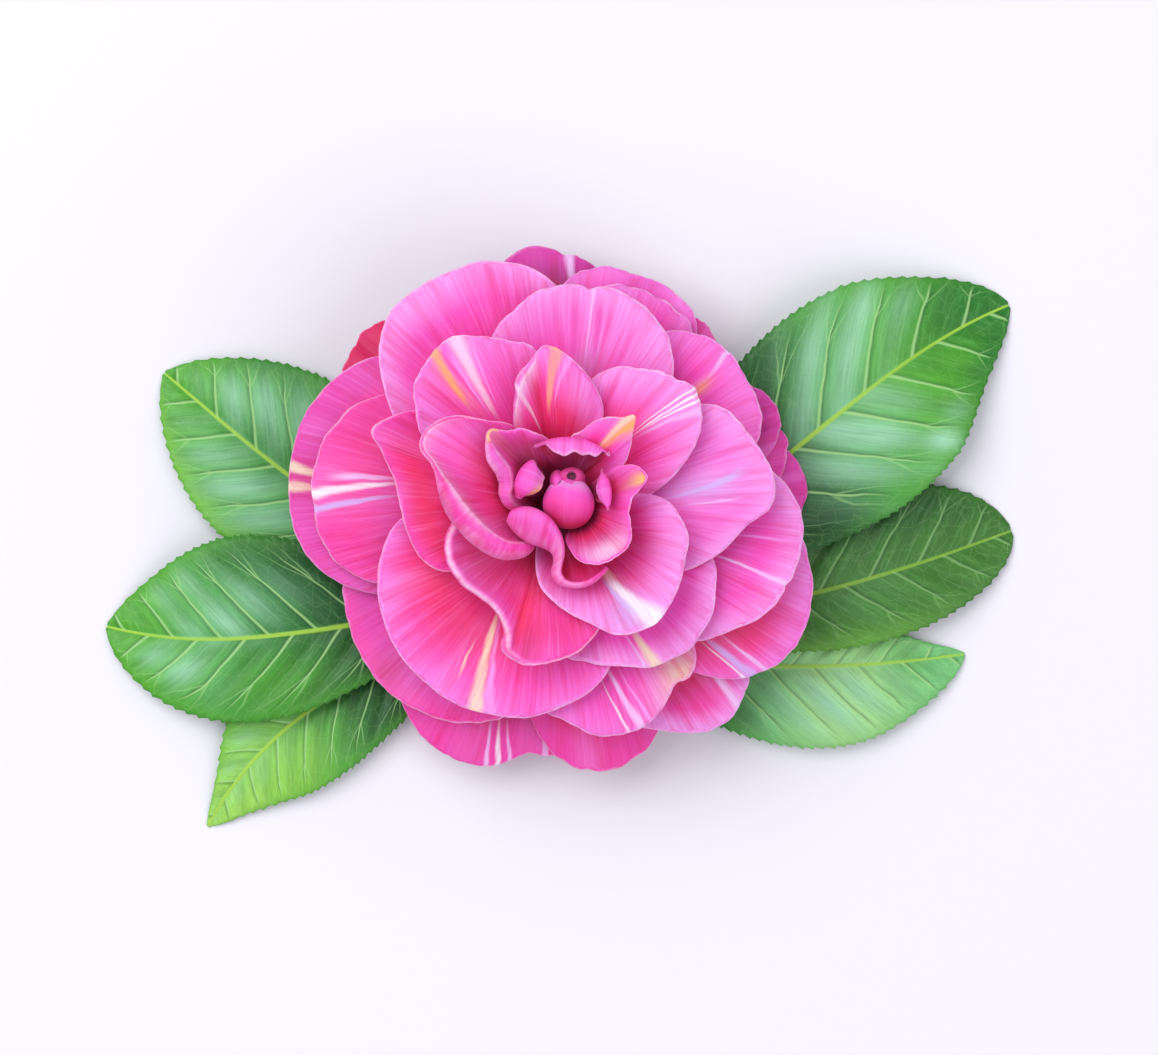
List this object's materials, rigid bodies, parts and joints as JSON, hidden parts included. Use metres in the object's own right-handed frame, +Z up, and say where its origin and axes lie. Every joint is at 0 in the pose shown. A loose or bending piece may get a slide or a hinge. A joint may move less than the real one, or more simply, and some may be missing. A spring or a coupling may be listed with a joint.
{
  "type": "camellia flower",
  "caption": "Double camellia bloom with layered ruffled petals and glossy serrated leaves on a short cut twig, lying face up as picked.",
  "frame": {"origin": "centre of the bounding box's footprint, on the surface the flower lies on", "axes": "+Z up, out of the bloom's face; +X along the spread of the leaves, from the left leaves to the right; +Y from the twig's cut end towards the bloom"},
  "size_m": [0.1776, 0.1132, 0.0441],
  "materials": {
    "petal_pink": "soft satin petal, pink with pale streaks",
    "petal_dark": "soft satin petal, dark magenta",
    "leaf_green": "glossy leathery leaf with pale veins",
    "calyx_green": "dull green scale",
    "twig_bark": "matt brown bark with a pale cut end"
  },
  "bodies": {
    "root": {"back_left": "petal_dark", "back_top": "petal_dark", "back_top_right": "petal_dark", "back_right_high": "petal_dark", "back_right_upper": "petal_dark", "back_right_middle": "petal_dark", "back_right_lower": "petal_dark", "back_bottom_left": "petal_dark", "back_bottom_right": "petal_dark", "outer_left_low": "petal_pink", "outer_left": "petal_pink", "outer_bottom_right": "petal_pink", "outer_right_low": "petal_pink", "outer_top_right": "petal_pink", "mid_left": "petal_pink", "mid_top_left": "petal_pink", "mid_top": "petal_pink", "mid_right_high": "petal_pink", "mid_right": "petal_pink", "mid_right_low": "petal_pink", "mid_bottom": "petal_pink", "mid_bottom_left": "petal_pink", "mid_low_right": "petal_pink", "inner_left_point": "petal_pink", "inner_top_left": "petal_pink", "inner_right_high": "petal_pink", "curled_front": "petal_pink", "inner_low_right": "petal_pink", "fan_top": "petal_pink", "rolled_left": "petal_pink", "pointed_right": "petal_pink", "ruffled_left": "petal_pink", "tongue_front": "petal_pink", "wavy_right": "petal_pink", "petaloid_top": "petal_pink", "petaloid_left": "petal_pink", "petaloid_right": "petal_pink", "sepal_front": "calyx_green", "sepal_right": "calyx_green", "sepal_back_right": "calyx_green", "sepal_back_left": "calyx_green", "sepal_left": "calyx_green", "leaf_left_upper": "leaf_green", "leaf_left_middle": "leaf_green", "leaf_left_lower": "leaf_green", "leaf_right_upper": "leaf_green", "leaf_right_middle": "leaf_green", "leaf_right_lower": "leaf_green", "bud_heart": "petal_pink", "receptacle": "calyx_green", "twig": "twig_bark"}
  },
  "joints": []
}
